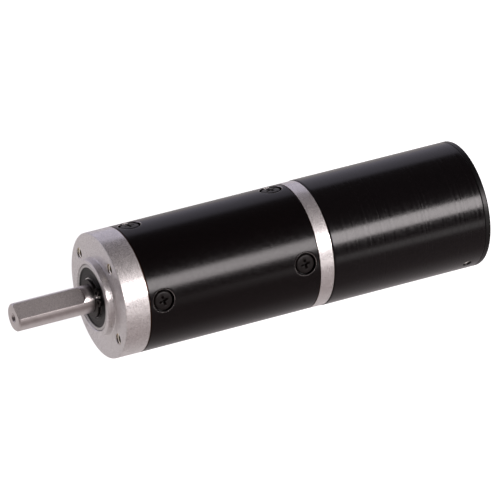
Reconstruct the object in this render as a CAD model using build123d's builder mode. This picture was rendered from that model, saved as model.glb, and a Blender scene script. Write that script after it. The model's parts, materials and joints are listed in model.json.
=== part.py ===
from build123d import *
from math import acos, cos, pi, radians, sin, sqrt, tan
import os

# Round planetary gearmotor: three planetary stages in a black sleeve, driven by a brushed DC motor.
# Millimetres. The axis is X, the front mounting face is at x = 0, the output shaft points to -X and
# the motor lies towards +X. Angles about the axis run from +Y towards +Z.

# Housing lengths along the axis
GEARBOX_D = 36.0
BOSS_D, BOSS_FRONT = 22.0, -2.2
FLANGE_END = 7.7
SPIGOT_END = 16.9
SLEEVE_END = 59.9
ADAPTER_END = 64.4
CAN_END = 112.2
MOTOR_END = 113.95
R = GEARBOX_D / 2
CAN_R = 18.15
CAN_WALL = 1.2
SLEEVE_BORE_R = 15.5
FIT = 0.02  # gap between pieces that are pressed or screwed together
RUNNING = 0.03  # gap between a pin or shaft and the bore it turns in

# Output shaft
SHAFT_R = 4.0
SHAFT_TIP = -26.0
SHAFT_END_R, SHAFT_SEAT_X = 3.99, -6.45  # the exposed end is ground just under the bearing seat
FLAT_END, FLAT_FROM_AXIS, FLAT_ANGLE = -5.4, 3.1, 120
FLAT_WIDTH, FLAT_CORNER = 5.8, 2.2
CIRCLIP_X, CIRCLIP_T, CIRCLIP_GROOVE_R = -2.9, 0.8, 3.8

# Front face threads and the two rows of sleeve screws
BOLT_PCD, BOLT_R, BOLT_DEPTH, BOLT_ANGLE = 28.7, 1.5, 6.0, 30
SCREW_ROWS = {"front": 11.8, "rear": 55.6}
SCREW_ANGLES = [75, 165, 255, 345]
HEAD_R, HEAD_SEAT_R, HEAD_TOP_R = 2.75, 16.2, 17.75
HEAD_POCKET_R = 3.2
SHANK_R = 1.46
SCREW_TIP_R = 12.2

# Ball bearings of the output shaft, 8 x 19 x 6
BEARING_OD, BEARING_W = 19.0, 6.0
BEARING_X = {"front": -2.0, "rear": 8.9}
BALLS, BALL_R, BALL_PITCH_R = 8, 1.6, 6.75
GROOVE_R = BALL_R + 0.08
INNER_LAND_R, OUTER_LAND_R, SEAL_SEAT_R = 5.7, 7.8, 8.6
SEAL_T, SEAL_SUNK = 0.4, 0.15

# Gear train: every stage has the same 15 tooth sun, three 15 tooth planets and the 45 tooth ring
MODULE, PRESSURE = 0.6, radians(20)
SUN_TEETH, PLANET_TEETH, RING_TEETH = 15, 15, 45
THINNED = 0.08  # taken off each tooth's width, for backlash
CENTRES = MODULE * (SUN_TEETH + PLANET_TEETH) / 2
RING_X = (17.2, 50.1)
PIN_R = 1.5
CARRIER_R = 12.6
END_GAP = 0.2
# carrier's front face, its thickness, the planets' width, the first planet's angle
STAGES = {
    "output": (17.6, 4.0, 8.5, 0),
    "middle": (31.2, 3.0, 6.5, 60),
    "first": (41.8, 2.5, 5.5, 0),
}
WASHER_T, WASHER_BORE_R = 0.6, 5.6
SUN_STEM_R = 3.0
GUARD_X = (50.2, 51.0)
ADAPTER_FRONT = 51.2

# Motor
ROTOR_R = 1.5875
ROTOR_X = (45.0, 114.2)
PINION_X = (44.7, 51.6)
MOTOR_BOSS_R, MOTOR_BOSS_X = 6.5, 60.9
PLATE_T = 1.5
MOTOR_SCREW_RADIUS, MOTOR_SCREW_ANGLES = 11.0, [30, 210]
SCREW_SEAT_X = 60.4
BUSH_R = 4.5
CORE_R, CORE_X, POLES = 12.7, (72.0, 95.0), 5
NECK_W, COIL_HALF_W, END_TURN = 3.6, 3.9, 3.2
COMMUTATOR_X, COMMUTATOR_R = (99.6, 105.0), 4.5
BRUSH_ANGLES = [55, 235]
BRUSH_X, BRUSH_L, BRUSH_W = 102.4, 3.6, 3.4
BRUSH_BACK_R, HOLDER_R, HOLDER_WALL = 10.4, (6.4, 13.8), 0.35
BRUSH_PLATE_X = (104.95, 106.15)
COVER_SPIGOT_X = 106.2
COVER_SCREW_X, COVER_SCREW_ANGLES, COVER_SCREW_R = 108.3, [216, 36], 1.25
TERMINAL_R, TERMINAL_END, TERMINAL_W, TERMINAL_T = 12.0, 117.9, 4.8, 0.5


def outline(points, turn=0):
    """The closed half section of a turned piece, from its (x, radius) corners."""
    with BuildSketch(Plane.XY.rotated((turn, 0, 0))) as section:
        with BuildLine():
            Polyline(*points, close=True)
        make_face()
    return section.sketch


def tube(x_low, x_high, r_low, r_high):
    """The half section of a plain tube or, with r_low of 0, of a bar."""
    return outline([(x_low, r_low), (x_high, r_low), (x_high, r_high), (x_low, r_high)])


def at_angle(x, angle, radius):
    """The plane across a radial line: its normal points outwards and its x is along the axis."""
    outward = (0, cos(radians(angle)), sin(radians(angle)))
    return Plane(
        origin=(x, radius * outward[1], radius * outward[2]), x_dir=(1, 0, 0), z_dir=outward
    )


def polar(radius, angle):
    return (radius * cos(angle), radius * sin(angle))


def save(builder, name):
    """Name a finished piece and write it to its own file."""
    builder.part.label = name
    export_step(builder.part, f"parts/{name}.step")


def involute(angle):
    return tan(angle) - angle


def toothed_face(teeth, inner_r, outer_r, width):
    """An involute gear's face: width is the tooth's width on the pitch circle."""
    pitch_r = MODULE * teeth / 2
    base_r = pitch_r * cos(PRESSURE)
    start_r = max(inner_r, base_r)
    middle_r = (start_r + outer_r) / 2
    step = 2 * pi / teeth

    def half_angle(radius):
        return width / 2 / pitch_r + involute(PRESSURE) - involute(acos(base_r / radius))

    low, middle, high = half_angle(start_r), half_angle(middle_r), half_angle(outer_r)
    with BuildSketch() as face:
        with BuildLine():
            for tooth in range(teeth):
                at = tooth * step
                for side in (-1, 1):
                    ThreePointArc(
                        polar(start_r, at + side * low),
                        polar(middle_r, at + side * middle),
                        polar(outer_r, at + side * high),
                    )
                    if start_r > inner_r:
                        Line(polar(inner_r, at + side * low), polar(start_r, at + side * low))
                ThreePointArc(polar(outer_r, at - high), polar(outer_r, at), polar(outer_r, at + high))
                ThreePointArc(
                    polar(inner_r, at + low),
                    polar(inner_r, at + step / 2),
                    polar(inner_r, at + step - low),
                )
        make_face()
    return face.sketch


def gear_face(teeth):
    """The face of an external gear, with its teeth thinned for backlash."""
    pitch_r = MODULE * teeth / 2
    return toothed_face(
        teeth, pitch_r - 1.25 * MODULE, pitch_r + 0.9 * MODULE, pi * MODULE / 2 - THINNED
    )


def planet_angles(stage):
    return [STAGES[stage][3] + 120 * k for k in range(3)]


def planet_span(stage):
    """Where a stage's planets start and end along the axis."""
    front, thickness, width, _ = STAGES[stage]
    return front + thickness + END_GAP, front + thickness + END_GAP + width


def build_front_flange():
    """Aluminium front flange: pilot boss, mounting face, and the spigot that holds both bearings."""
    bearing_r = BEARING_OD / 2 + FIT
    front_end = BEARING_X["front"] + BEARING_W + FIT
    rear_start = BEARING_X["rear"]
    clip_start = rear_start + BEARING_W + FIT
    lip_r, groove_r = 8.3, bearing_r + 0.5
    rim_edge, boss_edge, bore_edge = 0.4, 0.35, 0.25
    with BuildPart() as flange:
        revolve(
            outline(
                [
                    (BOSS_FRONT, bearing_r + bore_edge),
                    (BOSS_FRONT, BOSS_D / 2 - boss_edge),
                    (BOSS_FRONT + boss_edge, BOSS_D / 2),
                    (-0.25, BOSS_D / 2),
                    (0, BOSS_D / 2 + 0.25),
                    (0, R - rim_edge),
                    (rim_edge, R),
                    (FLANGE_END - 0.1, R),
                    (FLANGE_END, R - 0.1),
                    (FLANGE_END, SLEEVE_BORE_R - FIT),
                    (SPIGOT_END - 0.3, SLEEVE_BORE_R - FIT),
                    (SPIGOT_END, SLEEVE_BORE_R - 0.3),
                    (SPIGOT_END, bearing_r),
                    (clip_start + 1.05, bearing_r),
                    (clip_start + 1.05, groove_r),
                    (clip_start, groove_r),
                    (clip_start, bearing_r),
                    (rear_start, bearing_r),
                    (rear_start, lip_r),
                    (front_end, lip_r),
                    (front_end, bearing_r),
                    (BOSS_FRONT + bore_edge, bearing_r),
                ]
            ),
            axis=Axis.X,
        )
        with Locations(Plane.YZ.rotated((0, 180, 0))):
            with PolarLocations(BOLT_PCD / 2, 4, start_angle=180 - BOLT_ANGLE):
                CounterSinkHole(BOLT_R, BOLT_R + 0.2, depth=BOLT_DEPTH)
        for angle in SCREW_ANGLES:
            with BuildSketch(at_angle(SCREW_ROWS["front"], angle, R)):
                Circle(BOLT_R)
            extrude(amount=SCREW_TIP_R - 0.4 - R, mode=Mode.SUBTRACT)
    save(flange, "front_flange")


def build_sleeve():
    """Black sleeve that clamps the flange, ring gear and adapter in line."""
    edge = 0.2
    with BuildPart() as sleeve:
        revolve(
            outline(
                [
                    (FLANGE_END, SLEEVE_BORE_R),
                    (FLANGE_END, R - edge),
                    (FLANGE_END + edge, R),
                    (SLEEVE_END - edge, R),
                    (SLEEVE_END, R - edge),
                    (SLEEVE_END, SLEEVE_BORE_R),
                ]
            ),
            axis=Axis.X,
        )
        for x in SCREW_ROWS.values():
            for angle in SCREW_ANGLES:
                with BuildSketch(at_angle(x, angle, HEAD_SEAT_R)):
                    Circle(HEAD_POCKET_R)
                extrude(amount=R, mode=Mode.SUBTRACT)
                with BuildSketch(at_angle(x, angle, R)):
                    Circle(BOLT_R + 0.1)
                extrude(amount=-R / 2, mode=Mode.SUBTRACT)
    save(sleeve, "gearbox_sleeve")


def build_sleeve_screws():
    """Two rows of four cross-head screws, each row one group of separate solids."""
    for row, x in SCREW_ROWS.items():
        with BuildPart() as screws:
            for angle in SCREW_ANGLES:
                with BuildSketch(at_angle(x, angle, SCREW_TIP_R)):
                    Circle(SHANK_R)
                extrude(amount=HEAD_SEAT_R - SCREW_TIP_R)
                with BuildSketch(at_angle(x, angle, HEAD_SEAT_R)):
                    Circle(HEAD_R)
                extrude(amount=HEAD_TOP_R - HEAD_SEAT_R)
            tops = screws.edges().filter_by(GeomType.CIRCLE).filter_by(lambda e: e.radius == HEAD_R)
            rims = [e for e in tops if sqrt(e.center().Y ** 2 + e.center().Z ** 2) > HEAD_TOP_R - 0.1]
            fillet(rims, 0.5)
            for angle in SCREW_ANGLES:
                with BuildSketch(at_angle(x, angle, HEAD_TOP_R)):
                    RectangleRounded(3.2, 0.75, 0.3)
                    RectangleRounded(0.75, 3.2, 0.3)
                extrude(amount=-1.1, taper=12, mode=Mode.SUBTRACT)
        save(screws, f"sleeve_screws_{row}")


def build_ring_gear():
    """Internal gear shared by the three stages."""
    pitch_r = MODULE * RING_TEETH / 2
    with BuildPart() as ring:
        with BuildSketch(Plane.YZ.offset(RING_X[0])):
            Circle(SLEEVE_BORE_R - FIT)
            spaces = toothed_face(
                RING_TEETH, pitch_r - 0.7 * MODULE, pitch_r + 1.25 * MODULE, pi * MODULE / 2 + THINNED
            )
            add(spaces, mode=Mode.SUBTRACT)
        extrude(amount=RING_X[1] - RING_X[0])
    save(ring, "ring_gear")


def build_bearing(place):
    """One ball bearing: outer race, inner race, balls, cage and two seals."""
    low = BEARING_X[place]
    high = low + BEARING_W
    middle = (low + high) / 2
    outer_r, edge = BEARING_OD / 2, 0.3
    seal_depth = SEAL_SUNK + SEAL_T + FIT
    with BuildPart() as outer_race:
        revolve(
            outline(
                [
                    (low, SEAL_SEAT_R),
                    (low, outer_r - edge),
                    (low + edge, outer_r),
                    (high - edge, outer_r),
                    (high, outer_r - edge),
                    (high, SEAL_SEAT_R),
                    (high - seal_depth, SEAL_SEAT_R),
                    (high - seal_depth, OUTER_LAND_R),
                    (low + seal_depth, OUTER_LAND_R),
                    (low + seal_depth, SEAL_SEAT_R),
                ]
            ),
            axis=Axis.X,
        )
        with BuildSketch(Plane.XY):
            with Locations((middle, BALL_PITCH_R)):
                Circle(GROOVE_R)
        revolve(axis=Axis.X, mode=Mode.SUBTRACT)
    save(outer_race, f"{place}_bearing_outer_race")

    with BuildPart() as inner_race:
        revolve(
            outline(
                [
                    (low, SHAFT_R + FIT / 2 + 0.2),
                    (low + 0.2, SHAFT_R + FIT / 2),
                    (high - 0.2, SHAFT_R + FIT / 2),
                    (high, SHAFT_R + FIT / 2 + 0.2),
                    (high, INNER_LAND_R),
                    (low, INNER_LAND_R),
                ]
            ),
            axis=Axis.X,
        )
        with BuildSketch(Plane.XY):
            with Locations((middle, BALL_PITCH_R)):
                Circle(GROOVE_R)
        revolve(axis=Axis.X, mode=Mode.SUBTRACT)
    save(inner_race, f"{place}_bearing_inner_race")

    with BuildPart() as balls:
        with Locations(Plane.YZ.offset(middle)):
            with PolarLocations(BALL_PITCH_R, BALLS):
                Sphere(BALL_R)
    save(balls, f"{place}_bearing_balls")

    with BuildPart() as cage:
        revolve(tube(middle - 2.1, middle + 2.1, BALL_PITCH_R - 0.4, BALL_PITCH_R + 0.4), axis=Axis.X)
        for ball in range(BALLS):
            with BuildSketch(at_angle(middle, 360 / BALLS * ball, INNER_LAND_R)):
                Circle(GROOVE_R)
            extrude(amount=2 * BALL_R, mode=Mode.SUBTRACT)
    save(cage, f"{place}_bearing_cage")

    with BuildPart() as seals:
        for start in (low + SEAL_SUNK, high - SEAL_SUNK - SEAL_T):
            revolve(tube(start, start + SEAL_T, INNER_LAND_R + 0.1, SEAL_SEAT_R - FIT), axis=Axis.X)
    save(seals, f"{place}_bearing_seals")


def build_circlips():
    """External clip in the shaft's groove, and the internal clip behind the rear bearing."""
    lug_angle = 150
    with BuildPart() as shaft_clip:
        with BuildSketch(Plane.YZ.offset(CIRCLIP_X)):
            Circle(CIRCLIP_GROOVE_R + 1.55)
            with Locations((-0.25, 0)):
                Circle(CIRCLIP_GROOVE_R + 1.7)
            Circle(CIRCLIP_GROOVE_R + FIT, mode=Mode.SUBTRACT)
        extrude(amount=CIRCLIP_T)
        with BuildSketch(Plane.YZ.offset(CIRCLIP_X).rotated((lug_angle, 0, 0))):
            with Locations((5.9, 1.35), (5.9, -1.35)):
                Circle(1.25)
                Circle(0.55, mode=Mode.SUBTRACT)
        extrude(amount=CIRCLIP_T)
        with BuildSketch(Plane.YZ.offset(CIRCLIP_X).rotated((lug_angle, 0, 0))):
            with Locations((5.0, 0)):
                Rectangle(6, 0.7)
            with Locations((5.9, 1.35), (5.9, -1.35)):
                Circle(0.55)
            Circle(CIRCLIP_GROOVE_R + FIT)
        extrude(amount=CIRCLIP_T, mode=Mode.SUBTRACT)
    save(shaft_clip, "shaft_circlip")

    start = BEARING_X["rear"] + BEARING_W + 2 * FIT
    with BuildPart() as bore_clip:
        revolve(
            outline([(start, 8.4), (start, 9.95), (start + 1.0, 9.95), (start + 1.0, 8.4)], 10),
            axis=Axis.X,
            revolution_arc=330,
        )
    save(bore_clip, "bearing_circlip")


def build_output_shaft():
    """Output shaft with a milled flat, a centre hole in its tip and a groove for the circlip."""
    carrier_front, carrier_t, _, _ = STAGES["output"]
    carrier_end = carrier_front + carrier_t
    flat_length = FLAT_END - SHAFT_TIP
    with BuildPart() as shaft:
        revolve(
            outline(
                [
                    (SHAFT_TIP, 1.35),
                    (SHAFT_TIP, SHAFT_R - 0.4),
                    (SHAFT_TIP + 0.4, SHAFT_END_R),
                    (SHAFT_SEAT_X - 0.1, SHAFT_END_R),
                    (SHAFT_SEAT_X, SHAFT_R),
                    (CIRCLIP_X - 0.05, SHAFT_R),
                    (CIRCLIP_X - 0.05, CIRCLIP_GROOVE_R),
                    (CIRCLIP_X + CIRCLIP_T + 0.05, CIRCLIP_GROOVE_R),
                    (CIRCLIP_X + CIRCLIP_T + 0.05, SHAFT_R),
                    (carrier_end, SHAFT_R),
                    (carrier_end, 0),
                    (SHAFT_TIP + 4.4, 0),
                    (SHAFT_TIP + 4.0, 0.8),
                    (SHAFT_TIP + 0.95, 0.8),
                ]
            ),
            axis=Axis.X,
        )
        with BuildSketch(at_angle(FLAT_END - flat_length, FLAT_ANGLE, FLAT_FROM_AXIS)):
            RectangleRounded(2 * flat_length, FLAT_WIDTH, FLAT_CORNER)
        extrude(amount=SHAFT_R, mode=Mode.SUBTRACT)
    save(shaft, "output_shaft")

    with BuildPart() as spacer:
        start = BEARING_X["front"] + BEARING_W + FIT
        revolve(tube(start, BEARING_X["rear"] - FIT, SHAFT_R + FIT, 5.3), axis=Axis.X)
    save(spacer, "bearing_spacer")


def build_carrier(stage):
    """A stage's carrier plate with its three planet pins."""
    front, thickness, _, _ = STAGES[stage]
    bore_r = SHAFT_R if stage == "output" else SUN_STEM_R
    with BuildPart() as carrier:
        revolve(
            outline(
                [
                    (front, bore_r + FIT / 2),
                    (front, CARRIER_R - 0.3),
                    (front + 0.3, CARRIER_R),
                    (front + thickness - 0.3, CARRIER_R),
                    (front + thickness, CARRIER_R - 0.3),
                    (front + thickness, bore_r + FIT / 2),
                ]
            ),
            axis=Axis.X,
        )
        if stage == "output":
            hub_start = BEARING_X["rear"] + BEARING_W + FIT
            revolve(tube(hub_start, front, SHAFT_R + FIT / 2, 5.4), axis=Axis.X)
        with Locations(Plane.YZ.offset(front + thickness)):
            with PolarLocations(CENTRES, 3, start_angle=planet_angles(stage)[0]):
                Hole(PIN_R + FIT / 2)
    save(carrier, f"{stage}_carrier")

    with BuildPart() as pins:
        pin_start = front + 0.4
        with BuildSketch(Plane.YZ.offset(pin_start)):
            with PolarLocations(CENTRES, 3, start_angle=planet_angles(stage)[0]):
                Circle(PIN_R)
        extrude(amount=planet_span(stage)[1] + 0.05 - pin_start)
    save(pins, f"{stage}_pins")


def build_planets(stage):
    """A stage's three planet gears, one node each because each turns on its own pin."""
    start, end = planet_span(stage)
    for number, angle in enumerate(planet_angles(stage), 1):
        y, z = polar(CENTRES, radians(angle))
        with BuildPart() as planet:
            with BuildSketch(Plane.YZ.offset(start)):
                with Locations((y, z)):
                    add(gear_face(PLANET_TEETH))
                    Circle(PIN_R + RUNNING, mode=Mode.SUBTRACT)
            extrude(amount=end - start)
        save(planet, f"{stage}_planet_{number}")


def build_sun(stage, carrier_behind):
    """A sun gear whose stem is pressed into the next carrier towards the motor."""
    behind, thickness = STAGES[carrier_behind][0], STAGES[carrier_behind][1]
    start = planet_span(stage)[0] + 0.1
    with BuildPart() as sun:
        with BuildSketch(Plane.YZ.offset(start)):
            add(gear_face(SUN_TEETH))
        extrude(amount=behind - FIT - start)
        with BuildSketch(Plane.YZ.offset(behind - FIT)):
            Circle(SUN_STEM_R)
        extrude(amount=thickness)
    save(sun, f"{stage}_sun")


def build_thrust_washers():
    """Washers that keep one stage's planets off the next stage's carrier."""
    with BuildPart() as washers:
        for stage in ("output", "middle"):
            start = planet_span(stage)[1] + 0.1
            revolve(tube(start, start + WASHER_T, WASHER_BORE_R, CARRIER_R), axis=Axis.X)
    save(washers, "thrust_washers")

    with BuildPart() as guard:
        revolve(tube(*GUARD_X, WASHER_BORE_R, SLEEVE_BORE_R - 0.1), axis=Axis.X)
    save(guard, "gear_guard_plate")


def build_adapter():
    """Aluminium adapter ring between the sleeve and the motor, and the two screws that hold the motor."""
    head_height, head_pocket_r = 1.9, 3.0
    with BuildPart() as adapter:
        revolve(
            outline(
                [
                    (ADAPTER_FRONT, 7.0),
                    (ADAPTER_FRONT, SLEEVE_BORE_R - 0.3),
                    (ADAPTER_FRONT + 0.3, SLEEVE_BORE_R - FIT),
                    (SLEEVE_END + FIT, SLEEVE_BORE_R - FIT),
                    (SLEEVE_END + FIT, R - 0.12),
                    (SLEEVE_END + FIT + 0.12, R),
                    (ADAPTER_END - 0.12, R),
                    (ADAPTER_END, R - 0.12),
                    (ADAPTER_END, MOTOR_BOSS_R + 2 * FIT),
                    (SCREW_SEAT_X, MOTOR_BOSS_R + 2 * FIT),
                    (SCREW_SEAT_X, 7.0),
                ]
            ),
            axis=Axis.X,
        )
        with BuildSketch(Plane.YZ.offset(ADAPTER_FRONT)):
            with Locations(*[polar(MOTOR_SCREW_RADIUS, radians(a)) for a in MOTOR_SCREW_ANGLES]):
                Circle(head_pocket_r)
        extrude(amount=SCREW_SEAT_X - ADAPTER_FRONT, mode=Mode.SUBTRACT)
        with BuildSketch(Plane.YZ.offset(SCREW_SEAT_X)):
            with Locations(*[polar(MOTOR_SCREW_RADIUS, radians(a)) for a in MOTOR_SCREW_ANGLES]):
                Circle(BOLT_R + 0.1)
        extrude(amount=ADAPTER_END - SCREW_SEAT_X, mode=Mode.SUBTRACT)
        for angle in SCREW_ANGLES:
            with BuildSketch(at_angle(SCREW_ROWS["rear"], angle, R)):
                Circle(BOLT_R)
            extrude(amount=SCREW_TIP_R - 0.4 - R, mode=Mode.SUBTRACT)
    save(adapter, "motor_adapter")

    with BuildPart() as screws:
        for angle in MOTOR_SCREW_ANGLES:
            y, z = polar(MOTOR_SCREW_RADIUS, radians(angle))
            with BuildSketch(Plane.YZ.offset(SCREW_SEAT_X - head_height)):
                with Locations((y, z)):
                    Circle(HEAD_R)
            extrude(amount=head_height)
            with BuildSketch(Plane.YZ.offset(SCREW_SEAT_X)):
                with Locations((y, z)):
                    Circle(SHANK_R)
            extrude(amount=ADAPTER_END + PLATE_T + 0.7 - SCREW_SEAT_X)
            with BuildSketch(Plane.YZ.offset(SCREW_SEAT_X - head_height)):
                with Locations((y, z)):
                    Rectangle(3.2, 0.75)
                    Rectangle(0.75, 3.2)
            extrude(amount=1.2, mode=Mode.SUBTRACT)
    save(screws, "motor_screws")


def build_motor_can():
    """Drawn steel can: front plate with the bearing boss, plain wall, open at the rear."""
    inner_r = CAN_R - CAN_WALL
    plate_end = ADAPTER_END + PLATE_T
    corner = 0.5
    with BuildPart() as can:
        revolve(
            outline(
                [
                    (MOTOR_BOSS_X, 2.2),
                    (MOTOR_BOSS_X, MOTOR_BOSS_R - 0.2),
                    (MOTOR_BOSS_X + 0.2, MOTOR_BOSS_R),
                    (ADAPTER_END + FIT, MOTOR_BOSS_R),
                    (ADAPTER_END + FIT, CAN_R - corner),
                    (ADAPTER_END + FIT + corner, CAN_R),
                    (CAN_END - 0.15, CAN_R),
                    (CAN_END, CAN_R - 0.15),
                    (CAN_END, inner_r),
                    (plate_end, inner_r),
                    (plate_end, BUSH_R),
                    (MOTOR_BOSS_X + 0.5, BUSH_R),
                    (MOTOR_BOSS_X + 0.5, 2.2),
                ]
            ),
            axis=Axis.X,
        )
        with BuildSketch(Plane.YZ.offset(ADAPTER_END)):
            with Locations(*[polar(MOTOR_SCREW_RADIUS, radians(a)) for a in MOTOR_SCREW_ANGLES]):
                Circle(BOLT_R)
        extrude(amount=PLATE_T + 0.5, mode=Mode.SUBTRACT)
        for angle in COVER_SCREW_ANGLES:
            with BuildSketch(at_angle(COVER_SCREW_X, angle, CAN_R - 2 * CAN_WALL)):
                Circle(COVER_SCREW_R)
            extrude(amount=3 * CAN_WALL, mode=Mode.SUBTRACT)
    save(can, "motor_can")


def build_bushes():
    """Sintered bushes that carry the rotor."""
    spans = {
        "front": (MOTOR_BOSS_X + 0.55, ADAPTER_END + PLATE_T),
        "rear": (COVER_SPIGOT_X + 3.0, MOTOR_END - 0.6),
    }
    for place, (start, end) in spans.items():
        with BuildPart() as bush:
            revolve(tube(start, end, ROTOR_R + RUNNING, BUSH_R - FIT), axis=Axis.X)
        save(bush, f"motor_{place}_bush")


def build_magnets():
    """Two ferrite arcs, on the can's wall and either side of the brushes' line."""
    arc = 130
    with BuildPart() as magnets:
        for middle in (BRUSH_ANGLES[0] + 90, BRUSH_ANGLES[1] + 90):
            low, high = 13.3, CAN_R - CAN_WALL - 2 * FIT
            revolve(
                outline([(69.5, low), (97.5, low), (97.5, high), (69.5, high)], middle - arc / 2),
                axis=Axis.X,
                revolution_arc=arc,
            )
    save(magnets, "motor_magnets")


def build_rotor():
    """Motor shaft with its pinion, laminated core, coils and commutator."""
    with BuildPart() as shaft:
        revolve(
            outline(
                [
                    (ROTOR_X[0], 0),
                    (ROTOR_X[0], ROTOR_R - 0.2),
                    (ROTOR_X[0] + 0.2, ROTOR_R),
                    (ROTOR_X[1] - 0.2, ROTOR_R),
                    (ROTOR_X[1], ROTOR_R - 0.2),
                    (ROTOR_X[1], 0),
                ]
            ),
            axis=Axis.X,
        )
    save(shaft, "rotor_shaft")

    with BuildPart() as pinion:
        with BuildSketch(Plane.YZ.offset(PINION_X[0])):
            add(gear_face(SUN_TEETH))
            Circle(ROTOR_R + FIT / 2, mode=Mode.SUBTRACT)
        extrude(amount=PINION_X[1] - PINION_X[0])
    save(pinion, "motor_pinion")

    with BuildPart() as core:
        with BuildSketch(Plane.YZ.offset(CORE_X[0])):
            Circle(CORE_R)
            Circle(CORE_R - 1.8, mode=Mode.SUBTRACT)
            with PolarLocations(CORE_R, POLES, start_angle=180 / POLES):
                Rectangle(6, 1.6, mode=Mode.SUBTRACT)
            Circle(4.6)
            with PolarLocations(CORE_R / 2 - 0.4, POLES):
                Rectangle(CORE_R - 1.5, NECK_W)
            Circle(ROTOR_R + FIT / 2, mode=Mode.SUBTRACT)
        extrude(amount=CORE_X[1] - CORE_X[0])
    save(core, "armature_core")

    coil_low, coil_high = 5.8, CORE_R - 2.7
    with BuildPart() as coils:
        for pole in range(POLES):
            with BuildSketch(at_angle((CORE_X[0] + CORE_X[1]) / 2, 360 / POLES * pole, coil_low)):
                RectangleRounded(CORE_X[1] - CORE_X[0] + 2 * END_TURN, 2 * COIL_HALF_W, 2.0)
                Rectangle(CORE_X[1] - CORE_X[0] + 0.1, NECK_W + 0.1, mode=Mode.SUBTRACT)
            extrude(amount=coil_high - coil_low)
    save(coils, "armature_coils")

    with BuildPart() as commutator_core:
        revolve(tube(*COMMUTATOR_X, ROTOR_R + FIT / 2, COMMUTATOR_R - 1.2), axis=Axis.X)
    save(commutator_core, "commutator_core")

    with BuildPart() as bars:
        with BuildSketch(Plane.YZ.offset(COMMUTATOR_X[0])):
            Circle(COMMUTATOR_R)
            Circle(COMMUTATOR_R - 1.2 + FIT / 2, mode=Mode.SUBTRACT)
            with PolarLocations(COMMUTATOR_R, POLES, start_angle=180 / POLES):
                Rectangle(6, 0.5, mode=Mode.SUBTRACT)
        extrude(amount=COMMUTATOR_X[1] - COMMUTATOR_X[0])
    save(bars, "commutator_bars")


def build_brush_gear():
    """Carbon brushes in brass holders on an insulating plate, with springs and terminals."""
    plate_front, plate_back = BRUSH_PLATE_X
    with BuildPart() as plate:
        revolve(tube(plate_front, plate_back, 5.2, CAN_R - CAN_WALL - 0.1), axis=Axis.X)
    save(plate, "brush_plate")

    holder_high = HOLDER_R[1]
    holder_l, holder_w = BRUSH_L + 0.1 + 2 * HOLDER_WALL, BRUSH_W + 0.1 + 2 * HOLDER_WALL
    with BuildPart() as holders:
        for angle in BRUSH_ANGLES:
            with BuildSketch(at_angle(BRUSH_X, angle, HOLDER_R[0])):
                Rectangle(holder_l, holder_w)
            extrude(amount=holder_high - HOLDER_R[0])
            with BuildSketch(at_angle(BRUSH_X, angle, HOLDER_R[0])):
                Rectangle(BRUSH_L + 0.1, BRUSH_W + 0.1)
            extrude(amount=holder_high - HOLDER_WALL - HOLDER_R[0], mode=Mode.SUBTRACT)
            with BuildSketch(at_angle(plate_front - 0.3, angle, HOLDER_R[0])):
                Rectangle(0.6, holder_w)
            extrude(amount=holder_high - HOLDER_R[0])
    save(holders, "brush_holders")

    with BuildPart() as brushes:
        for angle in BRUSH_ANGLES:
            with BuildSketch(at_angle(BRUSH_X, angle, 0)):
                Rectangle(BRUSH_L, BRUSH_W)
            extrude(amount=BRUSH_BACK_R)
        face_r = COMMUTATOR_R + RUNNING
        revolve(tube(*COMMUTATOR_X, 0, face_r), axis=Axis.X, mode=Mode.SUBTRACT)
    save(brushes, "carbon_brushes")

    wire_r, coil_r, turns = 0.18, 1.1, 4
    travel = holder_high - HOLDER_WALL - BRUSH_BACK_R - 2 * wire_r - 0.1
    with BuildPart() as springs:
        for angle in BRUSH_ANGLES:
            seat = at_angle(BRUSH_X, angle, BRUSH_BACK_R + wire_r + 0.05)
            with BuildLine() as wire:
                Helix(travel / turns, travel, coil_r, center=seat.origin, direction=seat.z_dir)
            with BuildSketch(Plane(wire.line @ 0, z_dir=wire.line % 0)):
                Circle(wire_r)
            sweep(path=wire.line, is_frenet=True)
    save(springs, "brush_springs")

    with BuildPart() as terminals:
        for angle in BRUSH_ANGLES:
            foot = at_angle(plate_back + TERMINAL_T / 2 + FIT, angle, 8.0)
            with BuildSketch(foot):
                Rectangle(TERMINAL_T, TERMINAL_W)
            extrude(amount=TERMINAL_R - 8.0)
            tab_start = plate_back + FIT
            with BuildSketch(at_angle((tab_start + TERMINAL_END) / 2, angle, TERMINAL_R)):
                Rectangle(TERMINAL_END - tab_start, TERMINAL_W)
            extrude(amount=TERMINAL_T)
            with BuildSketch(at_angle(TERMINAL_END - 1.6, angle, TERMINAL_R)):
                Circle(0.7)
            extrude(amount=TERMINAL_T, mode=Mode.SUBTRACT)
    save(terminals, "terminals")


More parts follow.
